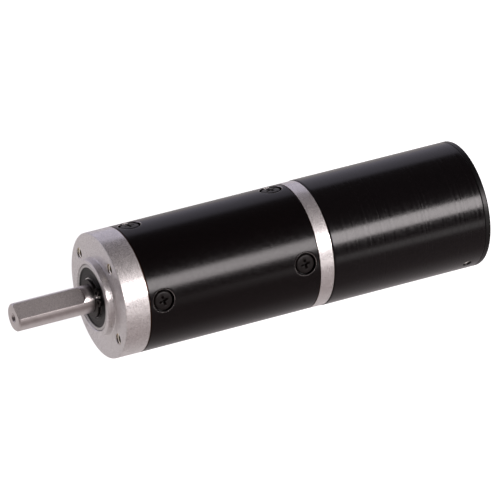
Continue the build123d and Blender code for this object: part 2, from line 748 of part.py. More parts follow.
def build_rear_cover():
    """Black rear cover that closes the can and holds the rear bush, and its two screws."""
    spigot_r = CAN_R - CAN_WALL - FIT
    bush_start = COVER_SPIGOT_X + 2.95
    with BuildPart() as cover:
        revolve(
            outline(
                [
                    (COVER_SPIGOT_X, 14.4),
                    (COVER_SPIGOT_X, spigot_r - 0.2),
                    (COVER_SPIGOT_X + 0.2, spigot_r),
                    (CAN_END + FIT, spigot_r),
                    (CAN_END + FIT, CAN_R - 0.15),
                    (CAN_END + FIT + 0.15, CAN_R),
                    (MOTOR_END - 0.5, CAN_R),
                    (MOTOR_END - 0.15, CAN_R - 0.15),
                    (MOTOR_END, CAN_R - 0.5),
                    (MOTOR_END, 6.5),
                    (MOTOR_END + 0.8, 6.2),
                    (MOTOR_END + 0.8, 2.2),
                    (MOTOR_END - 0.55, 2.2),
                    (MOTOR_END - 0.55, BUSH_R),
                    (bush_start, BUSH_R),
                    (bush_start, 6.5),
                    (MOTOR_END - 2.5, 6.5),
                    (MOTOR_END - 2.5, 14.4),
                ]
            ),
            axis=Axis.X,
        )
        for angle in BRUSH_ANGLES:
            slot = at_angle(MOTOR_END, angle, TERMINAL_R - 0.25)
            with BuildSketch(slot):
                Rectangle(8, TERMINAL_W + 0.6)
            extrude(amount=TERMINAL_T + 0.5, mode=Mode.SUBTRACT)
        for angle in COVER_SCREW_ANGLES:
            with BuildSketch(at_angle(COVER_SCREW_X, angle, CAN_R)):
                Circle(0.85)
            extrude(amount=-5, mode=Mode.SUBTRACT)
    save(cover, "rear_cover")

    with BuildPart() as screws:
        for angle in COVER_SCREW_ANGLES:
            with BuildSketch(at_angle(COVER_SCREW_X, angle, 14.8)):
                Circle(0.8)
            extrude(amount=spigot_r + 0.05 - 14.8)
            with BuildSketch(at_angle(COVER_SCREW_X, angle, spigot_r + 0.05)):
                Circle(COVER_SCREW_R - 0.05)
            extrude(amount=0.8)
            with BuildSketch(at_angle(COVER_SCREW_X, angle, spigot_r + 0.85)):
                Rectangle(2 * COVER_SCREW_R, 0.35)
            extrude(amount=-0.4, mode=Mode.SUBTRACT)
    save(screws, "cover_screws")


os.makedirs("parts", exist_ok=True)
build_front_flange()
build_sleeve()
build_sleeve_screws()
build_ring_gear()
for place in BEARING_X:
    build_bearing(place)
build_circlips()
build_output_shaft()
for stage in STAGES:
    build_carrier(stage)
    build_planets(stage)
build_sun("output", "middle")
build_sun("middle", "first")
build_thrust_washers()
build_adapter()
build_motor_can()
build_bushes()
build_magnets()
build_rotor()
build_brush_gear()
build_rear_cover()
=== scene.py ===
"""Looks of the planetary gearmotor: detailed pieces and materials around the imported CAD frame."""

import json
import math

import bmesh
import bpy
from mathutils import Matrix, Vector


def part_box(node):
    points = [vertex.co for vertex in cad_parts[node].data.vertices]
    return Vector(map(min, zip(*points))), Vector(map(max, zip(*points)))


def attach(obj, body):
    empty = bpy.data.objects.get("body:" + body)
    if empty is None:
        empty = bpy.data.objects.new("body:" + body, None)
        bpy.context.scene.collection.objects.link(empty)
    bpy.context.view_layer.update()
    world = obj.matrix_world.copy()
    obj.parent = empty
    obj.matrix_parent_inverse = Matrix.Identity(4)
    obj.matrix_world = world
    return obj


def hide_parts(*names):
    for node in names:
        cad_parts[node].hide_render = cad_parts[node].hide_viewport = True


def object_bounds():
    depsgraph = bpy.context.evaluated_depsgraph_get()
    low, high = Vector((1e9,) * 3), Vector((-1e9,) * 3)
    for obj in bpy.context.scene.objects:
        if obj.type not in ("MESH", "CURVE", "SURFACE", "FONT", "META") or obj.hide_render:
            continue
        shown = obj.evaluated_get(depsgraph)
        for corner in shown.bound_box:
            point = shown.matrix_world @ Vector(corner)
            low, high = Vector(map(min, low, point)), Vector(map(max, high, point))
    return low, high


MM = 0.001
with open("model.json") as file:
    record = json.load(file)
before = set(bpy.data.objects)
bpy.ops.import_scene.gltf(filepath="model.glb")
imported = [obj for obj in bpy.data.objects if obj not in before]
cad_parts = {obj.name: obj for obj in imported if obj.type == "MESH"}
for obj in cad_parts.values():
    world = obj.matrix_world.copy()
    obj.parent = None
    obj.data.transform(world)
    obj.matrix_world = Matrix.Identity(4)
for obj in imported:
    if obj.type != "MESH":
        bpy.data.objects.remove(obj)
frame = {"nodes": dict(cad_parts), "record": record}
cad_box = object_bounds()
nodes = frame["nodes"]


# ---------------------------------------------------------------- sizes


# The CAD model's sizes in mm. The axis is X with the mounting face at 0 and the shaft towards -X.
# Angles are in degrees, from +Y towards +Z.
FLANGE_R, FLANGE_END = 18.0, 7.7
SPIGOT_R, SPIGOT_END = 15.48, 16.9
BOSS_R, BOSS_FRONT = 11.0, -2.2
BEARING_BORE = 9.52
LIP_R, LIP_X = 8.3, (4.02, 8.9)  # the lip between the two bearings
CLIP_GROOVE_R, CLIP_GROOVE_X = 10.02, (14.92, 15.97)
BOLT_CIRCLE, BOLT_ANGLES = 14.35, (30, 120, 210, 300)
THREAD_R, THREAD_PITCH, THREAD_DEPTH = 1.5, 0.5, 6.0
SLEEVE_BORE_R = 15.5
SCREW_ANGLES = (75, 165, 255, 345)
SCREW_ROWS = (11.8, 55.6)
POCKET_R, SEAT_R, HEAD_TOP = 3.2, 16.2, 17.75
HEAD_R, SHANK_R, SCREW_TIP_R = 2.75, 1.46, 12.2
CAN_R, CAN_X0, CAN_X1, CAN_INNER_R = 18.15, 64.42, 112.2, 16.95
CAN_BOSS_X, CAN_BOSS_R, CAN_PLATE_END, BUSH_R = 60.9, 6.5, 65.9, 4.5
ROTOR_OPENING_R = 2.2
COVER_SCREW_X, COVER_SCREW_ANGLES, COVER_SCREW_R = 108.3, (216, 36), 1.25
SEAL_INNER_R, SEAL_OUTER_R, SEAL_T = 5.8, 8.58, 0.4
SEAL_FRONT, SEAL_REAR = -1.85, 3.85
SHAFT_TIP, SHAFT_REAR, SHAFT_R, SHAFT_END_R = -26.0, 21.6, 4.0, 3.99
SEAT_X = -6.45  # the CAD's step of 0.01 mm from SHAFT_R to SHAFT_END_R; the photo shows none
CIRCLIP_GROOVE_R, CIRCLIP_GROOVE_X = 3.8, (-2.95, -2.05)
CENTRE_HOLE_R, CENTRE_MOUTH_R = 0.8, 1.35
FLAT_ANGLE, FLAT_HEIGHT, FLAT_END = 120, 3.1, -5.4
FLAT_HALF_WIDTH, FLAT_CORNER = 2.9, 2.2

# Along X, the bands at the joints that are coloured dark brown
JOINT_LINES = ((7.3, 7.72), (59.9, 60.1), (64.2, 64.42))
EDGE = 0.2  # the rounding of the sleeve's ends
POCKET_RIM, CAN_RIM = 0.26, 0.08  # the rounding of the pockets' rims


# ---------------------------------------------------------------- shader helpers


class Shader:
    """A material being built, with short calls to add and link its nodes."""

    def __init__(self, name, color, metallic=0.0, roughness=0.5, **sockets):
        self.mat = bpy.data.materials.new(name)
        self.mat.use_nodes = True
        self.tree = self.mat.node_tree
        self.bsdf = self.tree.nodes["Principled BSDF"]
        self.set("Base Color", (*color, 1))
        self.set("Metallic", metallic)
        self.set("Roughness", roughness)
        for socket, value in sockets.items():
            self.set(socket.replace("_", " "), value)
        self.coordinates = self.add("ShaderNodeTexCoord").outputs["Object"]

    def set(self, socket, value):
        self.bsdf.inputs[socket].default_value = value

    def feed(self, socket, output):
        self.tree.links.new(output, self.bsdf.inputs[socket])

    def add(self, kind, inputs=(), **properties):
        node = self.tree.nodes.new(kind)
        for key, value in properties.items():
            setattr(node, key, value)
        for socket, value in dict(inputs).items():
            if isinstance(value, bpy.types.NodeSocket):
                self.tree.links.new(value, node.inputs[socket])
            else:
                node.inputs[socket].default_value = value
        return node

    def math(self, operation, a, b=0.0, c=0.0):
        return self.add("ShaderNodeMath", {0: a, 1: b, 2: c}, operation=operation).outputs[0]

    def split(self, vector):
        """The X, Y and Z of a vector socket."""
        return self.add("ShaderNodeSeparateXYZ", {0: vector}).outputs

    def turned(self, degrees):
        """The X, Y and Z of the coordinates, turned about the axis so that this angle lies on +Y."""
        node = self.add(
            "ShaderNodeVectorRotate",
            {"Vector": self.coordinates, "Axis": (1, 0, 0), "Angle": math.radians(-degrees)},
        )
        return self.split(node.outputs["Vector"])

    def length(self, a, b):
        return self.math("SQRT", self.math("ADD", self.math("POWER", a, 2), self.math("POWER", b, 2)))

    def mix(self, factor, a, b):
        node = self.add("ShaderNodeMix", {"Factor": factor, "A": a, "B": b}, data_type="RGBA")
        return node.outputs["Result"]

    def turning(self):
        """A length in mm that runs across turned grooves: along X on a wall, along the radius on a face."""
        parts = self.split(self.coordinates)
        along = self.math("ADD", parts["X"], self.length(parts["Y"], parts["Z"]))
        return self.math("MULTIPLY", along, 1 / MM)

    def noise(self, per_mm, detail=2.0, rough=0.5):
        node = self.add(
            "ShaderNodeTexNoise",
            {
                "Vector": self.coordinates,
                "Scale": per_mm / MM,
                "Detail": detail,
                "Roughness": rough,
            },
        )
        return node.outputs["Fac"]

    def grooves(self, per_mm, detail=2.0, rough=0.6):
        node = self.add(
            "ShaderNodeTexNoise",
            {"W": self.turning(), "Scale": per_mm, "Detail": detail, "Roughness": rough},
            noise_dimensions="1D",
        )
        return node.outputs["Fac"]

    def spread(self, value, low, high, source=(0.3, 0.7)):
        node = self.add(
            "ShaderNodeMapRange",
            {"Value": value, "From Min": source[0], "From Max": source[1], "To Min": low, "To Max": high},
        )
        return node.outputs["Result"]

    def tint(self, value, dark, light, source=(0.3, 0.7)):
        ramp = self.add("ShaderNodeValToRGB", {"Fac": value})
        for element, place, color in zip(ramp.color_ramp.elements, source, (dark, light)):
            element.position = place
            element.color = (*color, 1)
        return ramp.outputs["Color"]

    def bump(self, *layers):
        """Stack bump layers given as (height, depth in mm)."""
        normal = None
        for height, depth in layers:
            inputs = {"Height": height, "Distance": depth * MM, "Strength": 1.0}
            if normal is not None:
                inputs["Normal"] = normal
            normal = self.add("ShaderNodeBump", inputs).outputs["Normal"]
        self.feed("Normal", normal)

    def lathe_gloss(self, amount):
        """Stretch the highlight across the turned grooves."""
        self.set("Anisotropic", amount)
        self.set("Anisotropic Rotation", 0.25)
        tangent = self.add("ShaderNodeTangent", direction_type="RADIAL", axis="X")
        self.feed("Tangent", tangent.outputs["Tangent"])


def turned_metal(name, dark, light, roughness, gloss=0.5, groove_mm=0.0008, pitch=4.0):
    """Turned metal: mottled colour, and gloss that varies finely, so its highlight has a wide foot."""
    s = Shader(name, light, metallic=1.0, roughness=roughness)
    s.feed("Base Color", s.tint(s.noise(0.35, 4, 0.6), dark, light))
    s.feed("Roughness", s.spread(s.noise(9.0, 1), roughness, min(roughness * 2.1, 0.85), (0.42, 0.52)))
    s.bump((s.grooves(pitch), groove_mm), (s.noise(3.0, 3), groove_mm * 0.8))
    s.lathe_gloss(gloss)
    return s.mat


def flange_aluminium(name):
    """Machined aluminium: fine grain, a painted highlight in the tapped holes, where a brighter golden
    colour stands for glints, and dark brown bands along the joints.
    """
    s = Shader(name, (0.87, 0.85, 0.84), metallic=1.0, roughness=0.3)
    x = s.split(s.coordinates)["X"]
    across = s.turned(BOLT_ANGLES[0])
    a, b = (s.math("ABSOLUTE", across[k]) for k in ("Y", "Z"))
    out = s.math("SUBTRACT", s.math("MAXIMUM", a, b), BOLT_CIRCLE * MM)
    apart = s.length(out, s.math("MINIMUM", a, b))
    near = s.math("LESS_THAN", apart, (THREAD_R + 0.06) * MM)
    tapped = s.math("MULTIPLY", near, s.math("GREATER_THAN", x, 0.12 * MM))
    # Dark brown bands at the joints, on the flange's rear edge and the ends of the motor adapter.
    joints = 0.0
    for start, end in JOINT_LINES:
        after = s.math("GREATER_THAN", x, start * MM)
        line = s.math("MULTIPLY", after, s.math("LESS_THAN", x, end * MM))
        joints = s.math("MAXIMUM", joints, line)
    grain = s.tint(s.noise(1.1, 6, 0.75), (0.72, 0.70, 0.695), (0.96, 0.94, 0.935))
    # Painted highlight: the tapped holes and their threads get a brighter, golden colour that stands for the
    # glints in them.
    bright = s.mix(tapped, grain, (1.0, 0.94, 0.8, 1))
    s.feed("Base Color", s.mix(joints, bright, (0.04, 0.015, 0.007, 1)))
    fine = s.spread(s.noise(9.0, 1), 0.17, 0.72, (0.42, 0.54))
    polish = s.math("MULTIPLY", tapped, s.math("SUBTRACT", fine, 0.12))
    s.feed("Roughness", s.math("SUBTRACT", fine, polish))
    s.bump((s.grooves(3.0), 0.0012), (s.noise(1.8, 5, 0.8), 0.0026))
    s.lathe_gloss(0.35)
    return s.mat


def coating(
    name, color, roughness, groove_mm, speckle_mm, gloss=0.0, pitch=2.0, ior=1.36, streaks=0.0
):
    """A satin black coat: mottled gloss, fine speckle, and turned grooves that streak its highlight."""
    s = Shader(name, color, roughness=roughness, IOR=ior)
    shade = tuple(c * 1.5 + 0.0004 for c in color)
    s.feed("Base Color", s.tint(s.noise(0.8, 5, 0.7), color, shade))
    streaked = s.math("MULTIPLY", s.math("SUBTRACT", s.grooves(1.3, 5, 0.8), 0.5), streaks)
    mottled = s.spread(s.noise(1.2, 4), roughness - 0.03, roughness + 0.04)
    s.feed("Roughness", s.math("ADD", mottled, streaked))
    s.bump((s.grooves(pitch, 4, 0.7), groove_mm), (s.noise(2.4, 4, 0.7), speckle_mm))
    if gloss:
        s.lathe_gloss(gloss)
    return s


def coated_black(*values, **named):
    return coating(*values, **named).mat


def sleeve_black(name):
    """The coated sleeve, with a painted highlight: a thin grey metallic ring round the rims of the screw
    pockets.
    """
    s = coating(name, (0.0009, 0.0003, 0.0004), 0.21, 0.0004, 0.0012)
    across = s.turned(SCREW_ANGLES[0])
    side = s.math("MINIMUM", s.math("ABSOLUTE", across["Y"]), s.math("ABSOLUTE", across["Z"]))
    front, rear = (s.math("ABSOLUTE", s.math("SUBTRACT", across["X"], x * MM)) for x in SCREW_ROWS)
    apart = s.length(s.math("MINIMUM", front, rear), side)
    # Painted highlight: a thin grey metallic ring round each pocket rim stands for the bright line that the
    # rim's rounding catches.
    painted_rim_highlight = s.math("COMPARE", apart, (POCKET_R + 0.09) * MM, 0.08 * MM)
    coat = s.bsdf.inputs["Base Color"].links[0].from_socket
    s.feed("Base Color", s.mix(painted_rim_highlight, coat, (0.45, 0.43, 0.42, 1)))
    s.feed("Metallic", painted_rim_highlight)
    return s.mat


def plain_metal(name, dark, light, roughness, grain=2.0, bump_mm=0.002):
    s = Shader(name, light, metallic=1.0, roughness=roughness)
    mottle = s.noise(grain, 4, 0.6)
    s.feed("Base Color", s.tint(mottle, dark, light))
    s.feed("Roughness", s.spread(mottle, roughness - 0.06, roughness + 0.08))
    s.bump((s.noise(grain * 4, 3), bump_mm))
    return s.mat


def plain_matter(name, dark, light, roughness, grain=3.0, bump_mm=0.006, **sockets):
    s = Shader(name, light, roughness=roughness, **sockets)
    mottle = s.noise(grain, 5, 0.65)
    s.feed("Base Color", s.tint(mottle, dark, light))
    s.feed("Roughness", s.spread(mottle, roughness - 0.06, roughness + 0.06))
    s.bump((s.noise(grain * 3, 3), bump_mm))
    return s.mat


def shaft_steel(name):
    """Ground steel; the milled flat is duller and sparkles."""
    s = Shader(name, (0.55, 0.53, 0.52), metallic=1.0, roughness=0.3)
    flat_angle = math.radians(FLAT_ANGLE)
    across = s.add(
        "ShaderNodeVectorMath",
        {0: s.coordinates, 1: (0, math.cos(flat_angle) / MM, math.sin(flat_angle) / MM)},
        operation="DOT_PRODUCT",
    ).outputs["Value"]
    outside = s.math("LESS_THAN", s.split(s.coordinates)["X"], (FLAT_END + 0.1) * MM)
    on_flat = s.math("MULTIPLY", s.math("COMPARE", across, FLAT_HEIGHT, 0.04), outside)
    sparkle = s.noise(4.0, 3, 0.8)
    ground = s.tint(s.noise(0.5, 3), (0.60, 0.565, 0.555), (0.70, 0.66, 0.65))
    milled = s.tint(sparkle, (0.30, 0.28, 0.275), (0.62, 0.585, 0.575))
    s.feed("Base Color", s.mix(on_flat, ground, milled))
    s.feed("Roughness", s.math("ADD", 0.30, s.math("MULTIPLY", on_flat, 0.3)))
    height = s.math("ADD", s.grooves(5.0), s.math("MULTIPLY", sparkle, s.math("MULTIPLY", on_flat, 4)))
    s.bump((height, 0.001))
    return s.mat


materials = {
    "turned_aluminium": flange_aluminium("turned_aluminium"),
    "black_anodised": sleeve_black("black_anodised"),
    "black_can": coated_black(
        "black_can", (0.0012, 0.0007, 0.0009), 0.2, 0.003, 0.0006,
        gloss=0.3, pitch=1.6, ior=1.42, streaks=0.36,
    ),
    "black_cover": coated_black("black_cover", (0.002, 0.0017, 0.0018), 0.34, 0.001, 0.002),
    "black_screws": coated_black("black_screws", (0.004, 0.0028, 0.0026), 0.34, 0.0, 0.003, ior=1.28),
    "zinc_screws": plain_metal("zinc_screws", (0.55, 0.54, 0.50), (0.70, 0.69, 0.66), 0.3),
    "ground_steel": shaft_steel("ground_steel"),
    "bearing_steel": turned_metal("bearing_steel", (0.55, 0.54, 0.53), (0.66, 0.65, 0.64), 0.24, 0.3),
    "polished_steel": plain_metal(
        "polished_steel", (0.74, 0.74, 0.75), (0.78, 0.78, 0.79), 0.08, 1.0, 0.0002
    ),
    "cage_steel": plain_metal("cage_steel", (0.45, 0.43, 0.40), (0.56, 0.54, 0.51), 0.32),
    "seal_rubber": plain_matter(
        "seal_rubber", (0.006, 0.0055, 0.0055), (0.014, 0.013, 0.0125), 0.4, 2, 0.003,
        Specular_IOR_Level=0.22,
    ),
    "black_spring_steel": plain_metal(
        "black_spring_steel", (0.02, 0.018, 0.017), (0.045, 0.04, 0.038), 0.4, 3
    ),
    "spring_steel": plain_metal("spring_steel", (0.40, 0.40, 0.41), (0.52, 0.52, 0.53), 0.25),
    "gear_steel": plain_metal("gear_steel", (0.33, 0.33, 0.34), (0.46, 0.46, 0.47), 0.33, 1.5),
    "carrier_steel": turned_metal("carrier_steel", (0.36, 0.36, 0.37), (0.48, 0.48, 0.48), 0.34),
    "pin_steel": plain_metal("pin_steel", (0.55, 0.55, 0.56), (0.66, 0.66, 0.67), 0.16, 2, 0.0006),
    "washer_steel": turned_metal("washer_steel", (0.42, 0.42, 0.42), (0.53, 0.53, 0.53), 0.3),
    "ferrite": plain_matter("ferrite", (0.03, 0.03, 0.034), (0.065, 0.065, 0.07), 0.55, 4),
    "sintered_bronze": plain_metal("sintered_bronze", (0.34, 0.22, 0.11), (0.52, 0.35, 0.19), 0.45, 6, 0.01),
    "core_steel": turned_metal("core_steel", (0.22, 0.22, 0.23), (0.36, 0.36, 0.37), 0.42, 0.2, 0.006, 2.0),
    "enamelled_copper": plain_metal(
        "enamelled_copper", (0.40, 0.14, 0.05), (0.60, 0.24, 0.09), 0.22, 2, 0.01
    ),
    "moulded_plastic": plain_matter("moulded_plastic", (0.07, 0.035, 0.02), (0.11, 0.055, 0.033), 0.45),
    "copper": turned_metal("copper", (0.62, 0.28, 0.17), (0.76, 0.39, 0.25), 0.28),
    "fibre_board": plain_matter("fibre_board", (0.16, 0.09, 0.045), (0.28, 0.17, 0.09), 0.6, 1.2, 0.01),
    "brass": plain_metal("brass", (0.60, 0.44, 0.19), (0.76, 0.58, 0.29), 0.28),
    "carbon": plain_matter("carbon", (0.02, 0.02, 0.02), (0.04, 0.04, 0.04), 0.5, 5),
}
for part in frame["record"]["subparts"]:
    mesh = nodes[part["node"]].data
    mesh.materials.clear()
    mesh.materials.append(materials[part["material_slot"]])


# ---------------------------------------------------------------- mesh helpers


SEGMENTS = 192
ARC_STEPS = 5
BEVEL_STEPS = 2
LONGEST_STEP = 4.0  # along a plain wall


def soft_outline(points):
    """The (x, radius) corners of a turned outline, with an arc at each corner that has a third number."""
    outline = []
    for i, (x, r, *fillet) in enumerate(points):
        corner = Vector((x, r))
        if not fillet:
            outline.append(corner)
            continue
        to_last = Vector(points[i - 1][:2]) - corner
        to_next = Vector(points[(i + 1) % len(points)][:2]) - corner
        half = to_last.angle(to_next) / 2
        reach = fillet[0] / math.tan(half)
        centre = corner + (to_last.normalized() + to_next.normalized()).normalized() * (
            fillet[0] / math.sin(half)
        )
        start = corner + to_last.normalized() * reach - centre
        end = corner + to_next.normalized() * reach - centre
        turn = math.atan2(start.x * end.y - start.y * end.x, start.dot(end))
        for step in range(ARC_STEPS + 1):
            a = turn * step / ARC_STEPS
            spoke = Vector(
                (
                    start.x * math.cos(a) - start.y * math.sin(a),
                    start.x * math.sin(a) + start.y * math.cos(a),
                )
            )
            outline.append(centre + spoke)
    return outline


def on_axis(x, r, angle):
    """The point at this place along the axis, radius and angle from +Y towards +Z, in mm."""
    return Vector((x, r * math.cos(angle), r * math.sin(angle)))


def ring_of(bm, x, r, count=SEGMENTS, start=0.0):
    if r < 1e-6:
        return [bm.verts.new((x, 0, 0))]
    return [bm.verts.new(on_axis(x, r, start + math.tau * k / count)) for k in range(count)]


def bridge(bm, low, high):
    """Faces between two closed rings; a ring of one vertex is a pole."""
    count = max(len(low), len(high))
    for k in range(count):
        n = (k + 1) % count
        corners = [low[k % len(low)], low[n % len(low)], high[n % len(high)], high[k % len(high)]]
        bm.faces.new(list(dict.fromkeys(corners)))


def lathe(points, count=SEGMENTS, start=0.0, closed=True):
    """A turned solid around the X axis, from its outline in mm."""
    bm = bmesh.new()
    rings = [ring_of(bm, p.x, p.y, count, start) for p in soft_outline(points)]
    pairs = zip(rings, rings[1:] + rings[:1]) if closed else zip(rings, rings[1:])
    for low, high in pairs:
        if len(low) + len(high) > 2:
            bridge(bm, low, high)
    bmesh.ops.recalc_face_normals(bm, faces=bm.faces)
    return bm


def merged(*parts):
    """One bmesh out of several; the others are freed."""
    whole = parts[0]
    for part in parts[1:]:
        mesh = bpy.data.meshes.new("part")
        part.to_mesh(mesh)
        whole.from_mesh(mesh)
        bpy.data.meshes.remove(mesh)
        part.free()
    return whole


def box_mesh(size, low_face):
    """A block centred on the origin; low_face scales its lower end, for a tapered recess."""
    bm = bmesh.new()
    bmesh.ops.create_cube(bm, size=1.0)
    for v in bm.verts:
        taper = low_face if v.co.z < 0 else 1.0
        v.co = Vector((v.co.x * size[0] * taper, v.co.y * size[1] * taper, v.co.z * size[2]))
    return bm


def temporary(bm):
    mesh = bpy.data.meshes.new("cutter")
    bm.to_mesh(mesh)
    bm.free()
    piece = bpy.data.objects.new("cutter", mesh)
    bpy.context.scene.collection.objects.link(piece)
    return piece


def cut(body, *cutters):
    """The body less each cutter, as a new bmesh."""
    target = temporary(body)
    tools = [temporary(c) for c in cutters]
    for tool in tools:
        modifier = target.modifiers.new("cut", "BOOLEAN")
        modifier.operation = "DIFFERENCE"
        modifier.solver = "EXACT"
        modifier.object = tool
    bpy.context.view_layer.update()
    evaluated = target.evaluated_get(bpy.context.evaluated_depsgraph_get())
    bm = bmesh.new()
    bm.from_mesh(evaluated.to_mesh())
    evaluated.to_mesh_clear()
    for piece in (target, *tools):
        mesh = piece.data
        bpy.data.objects.remove(piece)
        bpy.data.meshes.remove(mesh)
    bmesh.ops.remove_doubles(bm, verts=bm.verts, dist=1e-4)
    return bm


def piece(name, bm, slot, body, *replaced, bevel=0.0, sharp=32):
    """Finish a mesh made in mm: bevel its hard edges, shade it, paint it, and set it on its body."""
    bmesh.ops.scale(bm, vec=(MM, MM, MM), verts=bm.verts)
    mesh = bpy.data.meshes.new(name)
    bm.to_mesh(mesh)
    bm.free()
    made = bpy.data.objects.new(name, mesh)
    bpy.context.scene.collection.objects.link(made)
    mesh.shade_smooth()
    if bevel:
        modifier = made.modifiers.new("bevel", "BEVEL")
        modifier.width = bevel * MM
        modifier.segments = BEVEL_STEPS
        modifier.limit_method = "ANGLE"
        modifier.angle_limit = math.radians(sharp)
        modifier.use_clamp_overlap = True
        modifier.miter_outer = "MITER_ARC"
    else:
        mesh.set_sharp_from_angle(angle=math.radians(sharp))
    normals = made.modifiers.new("normals", "WEIGHTED_NORMAL")
    normals.keep_sharp = True
    normals.weight = 80
    mesh.materials.append(materials[slot])
    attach(made, body)
    if replaced:
        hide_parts(*replaced)
    return made


def softened_copy(node, slot, body, bevel):
    """A CAD node's own shape with its hard edges rounded."""
    bm = bmesh.new()
    bm.from_mesh(nodes[node].data)
    bmesh.ops.scale(bm, vec=(1 / MM, 1 / MM, 1 / MM), verts=bm.verts)
    bmesh.ops.remove_doubles(bm, verts=bm.verts, dist=1e-3)
    bmesh.ops.dissolve_limit(
        bm, angle_limit=math.radians(0.6), verts=bm.verts, edges=bm.edges, use_dissolve_boundaries=False
    )
    return piece(f"{node}_soft", bm, slot, body, node, bevel=bevel)


def even_steps(start, end):
    """Marks from after start up to end, none if they meet."""
    if end - start < 1e-6:
        return []
    count = max(1, round((end - start) / LONGEST_STEP))
    return [start + (end - start) * (k + 1) / count for k in range(count)]


def pocketed_wall(outline, radius, pockets, pocket_r, rim, floor_r, hole_r, half_x, half_steps):
    """A turned tube whose outer wall has round pockets with softened rims.

    outline runs once round the tube's section and starts and ends on the outer wall, which
    this function makes: a grid of squares, with a ring pattern around each pocket.
    """
    bm = bmesh.new()
    start = math.radians(pockets[0][1])
    x_marks = [outline[-1][0]]
    step_x = half_x / half_steps
    for x in sorted({p[0] for p in pockets}):
        x_marks += even_steps(x_marks[-1], x - half_x)
        x_marks += [x - half_x + step_x * (k + 1) for k in range(2 * half_steps)]
    x_marks += even_steps(x_marks[-1], outline[0][0])
    inside = soft_outline(outline)
    grid = [ring_of(bm, x, radius, SEGMENTS, start) for x in x_marks]
    taken = set()
    for x, angle in pockets:
        row = min(range(len(x_marks)), key=lambda i: abs(x_marks[i] - x))
        column = round((math.radians(angle) - start) / math.tau * SEGMENTS)
        taken |= {
            (row + i, (column + j) % SEGMENTS)
            for i in range(-half_steps, half_steps)
            for j in range(-half_steps, half_steps)
        }
        loop = (
            [(-half_steps, j) for j in range(-half_steps, half_steps)]
            + [(i, half_steps) for i in range(-half_steps, half_steps)]
            + [(half_steps, j) for j in range(half_steps, -half_steps, -1)]
            + [(i, -half_steps) for i in range(half_steps, -half_steps, -1)]
        )
        square = [grid[row + i][(column + j) % SEGMENTS] for i, j in loop]
        flat = [
            Vector((i * step_x, radius * math.sin(j * math.tau / SEGMENTS))) for i, j in loop
        ]
        middle = math.radians(angle)
        along, across = Vector((1, 0, 0)), Vector((0, -math.sin(middle), math.cos(middle)))
        outward = Vector((0, math.cos(middle), math.sin(middle)))

        def ring(places, heights):
            return [
                bm.verts.new(Vector((x, 0, 0)) + along * p.x + across * p.y + outward * h)
                for p, h in zip(places, heights)
            ]

        def wall_height(places, drop=0.0):
            return [math.sqrt(radius**2 - p.y**2) - drop for p in places]

        rings = [square]
        circle = [p.normalized() * (pocket_r + rim) for p in flat]
        for share in (0.35, 0.7):
            places = [p.lerp(c, share) for p, c in zip(flat, circle)]
            rings.append(ring(places, wall_height(places)))
        for step in range(4):
            a = math.pi / 2 * step / 3
            places = [p.normalized() * (pocket_r + rim * (1 - math.sin(a))) for p in flat]
            rings.append(ring(places, wall_height(places, rim * (1 - math.cos(a)))))
        for r, h in ((pocket_r, floor_r + 0.1), (pocket_r - 0.1, floor_r), (hole_r, floor_r)):
            rings.append(ring([p.normalized() * r for p in flat], [h] * len(flat)))
        for low, high in zip(rings, rings[1:]):
            bridge(bm, low, high)
        bm.faces.new(rings[-1])
    for i in range(len(x_marks) - 1):
        for j in range(SEGMENTS):
            if (i, j) not in taken:
                n = (j + 1) % SEGMENTS
                bm.faces.new((grid[i][j], grid[i][n], grid[i + 1][n], grid[i + 1][j]))
    rings = [grid[-1]] + [ring_of(bm, p.x, p.y, SEGMENTS, start) for p in inside] + [grid[0]]
    for low, high in zip(rings, rings[1:]):
        bridge(bm, low, high)
    bmesh.ops.remove_doubles(bm, verts=bm.verts, dist=1e-5)
    bmesh.ops.recalc_face_normals(bm, faces=bm.faces)
    return bm


# ---------------------------------------------------------------- housing


def span(node):
    """Where a CAD node starts and ends along the axis, and its largest half height, in mm."""
    low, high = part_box(node)
    return low.x / MM, high.x / MM, max(high.y, high.z) / MM


sleeve_x0, sleeve_x1, sleeve_r = span("gearbox_sleeve")
sleeve = pocketed_wall(
    [
        (sleeve_x1 - EDGE, sleeve_r),
        (sleeve_x1, sleeve_r, EDGE * 0.9),
        (sleeve_x1, SLEEVE_BORE_R),
        (sleeve_x0, SLEEVE_BORE_R),
        (sleeve_x0, sleeve_r, EDGE * 0.9),
        (sleeve_x0 + EDGE, sleeve_r),
    ],
    sleeve_r,
    [(x, a) for x in SCREW_ROWS for a in SCREW_ANGLES],
    pocket_r=POCKET_R,
    rim=POCKET_RIM,
    floor_r=SEAT_R,
    hole_r=1.6,
    half_x=3.9,
    half_steps=7,
)
piece("sleeve_tube", sleeve, "black_anodised", "housing", "gearbox_sleeve")


def radial_frame(x, angle, spin=0.0):
    """Puts a piece whose own X points out of the wall at this place; spin turns it about that line."""
    a = math.radians(angle)
    outward = Vector((0, math.cos(a), math.sin(a)))
    along = Vector((1, 0, 0))
    side = outward.cross(along)
    turn = Matrix((outward, along, side)).transposed().to_4x4()
    return Matrix.Translation((x, 0, 0)) @ turn @ Matrix.Rotation(math.radians(spin), 4, "X")


def moved(bm, matrix):
    bmesh.ops.transform(bm, matrix=matrix, verts=bm.verts)
    return bm


